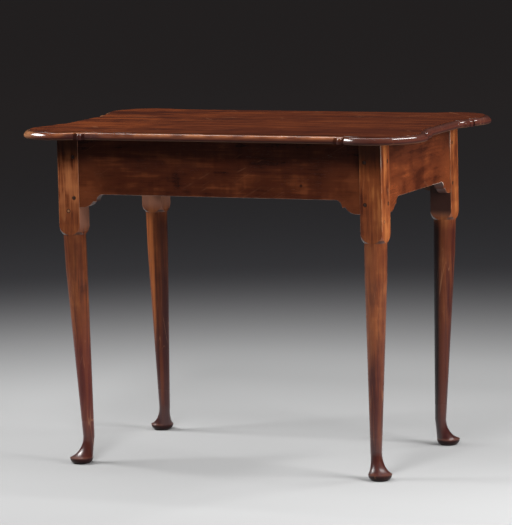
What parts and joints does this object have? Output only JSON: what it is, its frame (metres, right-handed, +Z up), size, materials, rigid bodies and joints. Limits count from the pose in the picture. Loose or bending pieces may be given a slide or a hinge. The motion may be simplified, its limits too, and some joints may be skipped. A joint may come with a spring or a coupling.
{
  "type": "tea table",
  "caption": "Tea table with a lobed-corner moulded top, bracketed aprons pegged to square posts, and tapering offset-turned legs on pad feet.",
  "frame": {"origin": "on the floor, under the middle of the table", "axes": "+X along the table to the right, -Y to the front, +Z up"},
  "size_m": [0.858, 0.56, 0.686],
  "materials": {
    "top_wood": "old polished hardwood",
    "frame_wood": "old polished hardwood",
    "peg_wood": "darkened end grain",
    "block_wood": "bare softwood",
    "screw_iron": "dull dark iron"
  },
  "bodies": {
    "root": {"apron_front": "frame_wood", "apron_left": "frame_wood", "apron_rear": "frame_wood", "apron_right": "frame_wood", "glue_block_front_left": "block_wood", "glue_block_front_right": "block_wood", "glue_block_left": "block_wood", "glue_block_rear_left": "block_wood", "glue_block_rear_right": "block_wood", "glue_block_right": "block_wood", "leg_front_left": "frame_wood", "leg_front_right": "frame_wood", "leg_rear_left": "frame_wood", "leg_rear_right": "frame_wood", "peg_front_apron_left_lower": "peg_wood", "peg_front_apron_left_upper": "peg_wood", "peg_front_apron_right_lower": "peg_wood", "peg_front_apron_right_upper": "peg_wood", "peg_left_apron_front_lower": "peg_wood", "peg_left_apron_front_upper": "peg_wood", "peg_left_apron_rear_lower": "peg_wood", "peg_left_apron_rear_upper": "peg_wood", "peg_rear_apron_left_lower": "peg_wood", "peg_rear_apron_left_upper": "peg_wood", "peg_rear_apron_right_lower": "peg_wood", "peg_rear_apron_right_upper": "peg_wood", "peg_right_apron_front_lower": "peg_wood", "peg_right_apron_front_upper": "peg_wood", "peg_right_apron_rear_lower": "peg_wood", "peg_right_apron_rear_upper": "peg_wood", "top_board": "top_wood", "top_screw_front_left": "screw_iron", "top_screw_front_right": "screw_iron", "top_screw_left": "screw_iron", "top_screw_rear_left": "screw_iron", "top_screw_rear_right": "screw_iron", "top_screw_right": "screw_iron"}
  },
  "joints": []
}
